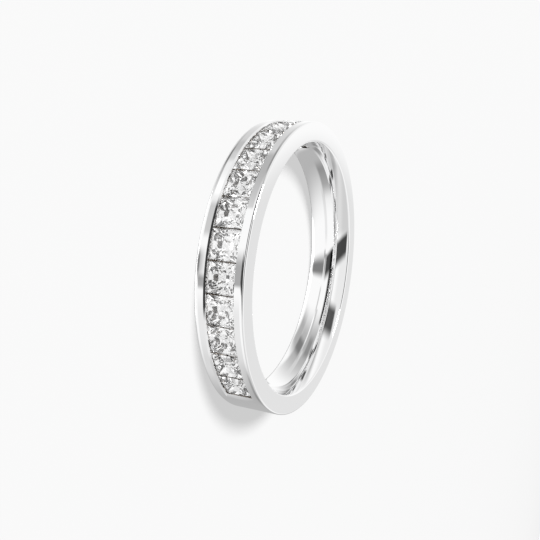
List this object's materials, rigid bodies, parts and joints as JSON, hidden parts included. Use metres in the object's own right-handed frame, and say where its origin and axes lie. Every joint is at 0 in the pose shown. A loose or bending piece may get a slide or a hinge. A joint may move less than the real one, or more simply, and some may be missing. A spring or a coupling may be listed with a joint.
{
  "type": "channel set ring",
  "caption": "Finger ring with a half row of square princess cut stones held in a channel between two polished rails, comfort domed inside.",
  "frame": {"origin": "centre of the ring in the plane of its lower rim, on which it lies", "axes": "+Z along the finger's axis, up as the ring lies on its side; -Y towards the middle of the row of stones"},
  "size_m": [0.0208, 0.0208, 0.0033],
  "materials": {
    "polished_metal": "mirror polished white gold with rhodium",
    "stone": "clear faceted diamond"
  },
  "bodies": {
    "root": {"band": "polished_metal", "stone_01": "stone", "stone_02": "stone", "stone_03": "stone", "stone_04": "stone", "stone_05": "stone", "stone_06": "stone", "stone_07": "stone", "stone_08": "stone", "stone_09": "stone", "stone_10": "stone", "stone_11": "stone", "stone_12": "stone", "stone_13": "stone"}
  },
  "joints": []
}
